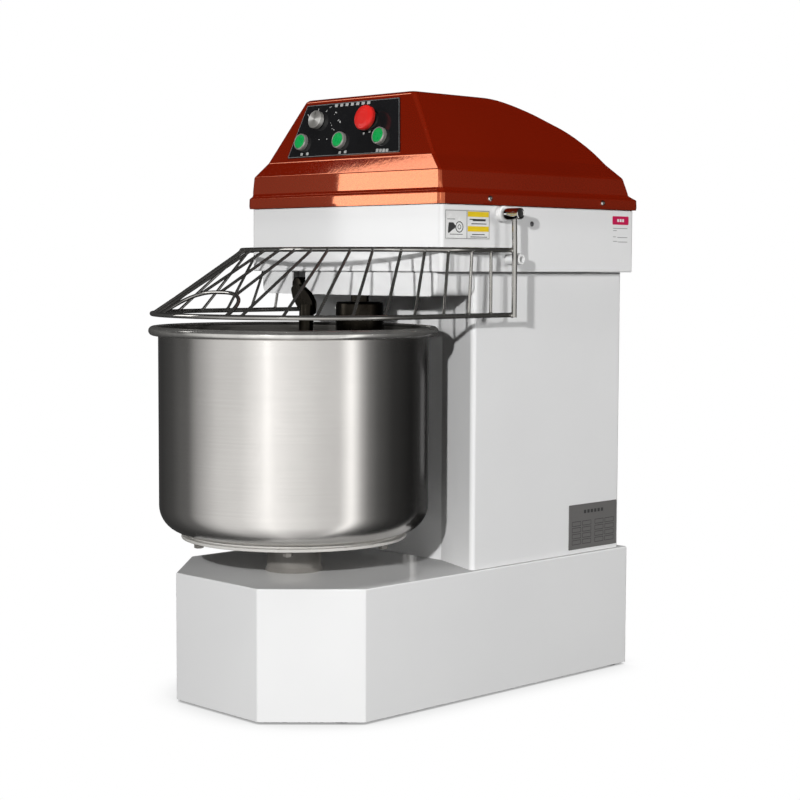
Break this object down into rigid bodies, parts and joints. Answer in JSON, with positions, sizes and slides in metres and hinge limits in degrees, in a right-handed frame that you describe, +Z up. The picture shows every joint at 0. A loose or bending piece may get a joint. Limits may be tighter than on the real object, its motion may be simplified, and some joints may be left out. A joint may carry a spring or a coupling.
{
  "type": "spiral dough mixer",
  "caption": "Floor-standing spiral dough mixer with a rotating steel bowl, spiral hook, fixed centre bar, hinged wire guard and sloping control face on a moulded cover.",
  "frame": {"origin": "centre of the machine's overall box at floor level, under the feet", "axes": "+Z up; -Y is the front, where the bowl is; +X is the right-hand side as seen by a person facing the machine's front"},
  "size_m": [0.568, 0.8515, 1.017],
  "materials": {
    "white_paint": "glossy light grey-white paint on sheet steel",
    "red_cover_paint": "deep red-orange clear-coated paint",
    "stainless": "satin stainless steel, circular brushing",
    "chrome": "polished chrome plating",
    "dark_steel": "dark oiled forged steel",
    "cast_iron": "machined cast iron",
    "rubber": "black rubber",
    "panel_black": "gloss black panel",
    "button_green": "green push-button cap",
    "stop_red": "red mushroom head",
    "aluminium": "satin aluminium"
  },
  "bodies": {
    "frame": {"base_housing": "white_paint", "foot_front_left": "rubber", "foot_front_right": "rubber", "foot_rear_left": "rubber", "foot_rear_right": "rubber", "bowl_bearing_housing": "white_paint", "bowl_bearing": "stainless", "column_housing": "white_paint", "rear_cover": "white_paint", "rating_plate": "aluminium", "neck_housing": "white_paint", "head_housing": "white_paint", "head_plate": "cast_iron", "spindle_bearing_housing": "cast_iron", "spindle_bearing": "stainless", "layshaft_bearing_upper": "cast_iron", "layshaft_bearing_lower": "cast_iron", "motor": "cast_iron", "motor_bracket": "cast_iron", "drive_belt": "rubber", "spindle_chain": "cast_iron", "bowl_chain": "cast_iron", "center_bar": "dark_steel", "top_cover": "red_cover_paint", "control_panel": "panel_black", "button_bezel_left": "chrome", "button_bezel_middle": "chrome", "button_bezel_right": "chrome", "emergency_stop_collar": "panel_black", "cover_screw_front_left": "stainless", "cover_screw_front_right": "stainless", "cover_screw_rear_left": "stainless", "cover_screw_rear_right": "stainless", "guard_boss_left": "white_paint", "guard_boss_right": "white_paint", "guard_stop_left": "white_paint", "guard_stop_right": "white_paint"},
    "bowl_assembly": {"bowl": "stainless", "bowl_disc": "white_paint", "bowl_bolt_1": "stainless", "bowl_bolt_2": "stainless", "bowl_bolt_3": "stainless", "bowl_bolt_4": "stainless", "bowl_bolt_5": "stainless", "bowl_bolt_6": "stainless", "bowl_shaft": "stainless", "bowl_sprocket": "cast_iron"},
    "hook_assembly": {"spiral_hook": "dark_steel", "spindle_shaft": "stainless"},
    "layshaft_assembly": {"layshaft": "stainless", "layshaft_pulley": "cast_iron"},
    "motor_rotor": {"motor_pulley": "cast_iron"},
    "guard_assembly": {"safety_guard": "chrome", "guard_knob_left": "chrome", "guard_knob_right": "chrome"},
    "left_button": {"start_button_left": "button_green"},
    "middle_button": {"start_button_middle": "button_green"},
    "right_button": {"start_button_right": "button_green"},
    "emergency_stop": {"emergency_stop_button": "stop_red"},
    "selector": {"speed_knob": "aluminium"}
  },
  "joints": [
    {"name": "bowl_spin", "type": "hinge", "parent": "frame", "child": "bowl_assembly", "pos_m": [0, -0.183, 0.285], "axis": [0, 0, 1], "continuous": true},
    {"name": "hook_spin", "type": "hinge", "parent": "frame", "child": "hook_assembly", "pos_m": [0, -0.033, 0.592], "axis": [0, 0, 1], "continuous": true},
    {"name": "layshaft_spin", "type": "hinge", "parent": "frame", "child": "layshaft_assembly", "pos_m": [-0.06, 0.149, 0.064], "axis": [0, 0, 1], "continuous": true},
    {"name": "motor_spin", "type": "hinge", "parent": "frame", "child": "motor_rotor", "pos_m": [0.09, 0.304, 0.484], "axis": [0, 0, 1], "continuous": true},
    {"name": "guard_lift", "type": "hinge", "parent": "frame", "child": "guard_assembly", "pos_m": [0, 0.064, 0.814], "axis": [-1, 0, 0], "range_deg": [0, 75]},
    {"name": "left_button_press", "type": "slide", "parent": "frame", "child": "left_button", "axis": [0, 0.9722, -0.2341], "range_m": [0, 0.003]},
    {"name": "middle_button_press", "type": "slide", "parent": "frame", "child": "middle_button", "axis": [0, 0.9722, -0.2341], "range_m": [0, 0.003]},
    {"name": "right_button_press", "type": "slide", "parent": "frame", "child": "right_button", "axis": [0, 0.9722, -0.2341], "range_m": [0, 0.003]},
    {"name": "emergency_stop_press", "type": "slide", "parent": "frame", "child": "emergency_stop", "axis": [0, 0.9722, -0.2341], "range_m": [0, 0.005]},
    {"name": "selector_turn", "type": "hinge", "parent": "frame", "child": "selector", "pos_m": [-0.0892, -0.04817, 0.9789], "axis": [0, -0.9722, 0.2341], "range_deg": [-45, 45]}
  ],
  "couplings": [
    {"joint": "hook_spin", "follows": "bowl_spin", "ratio": 8},
    {"joint": "layshaft_spin", "follows": "bowl_spin", "ratio": 8},
    {"joint": "motor_spin", "follows": "bowl_spin", "ratio": 26}
  ]
}
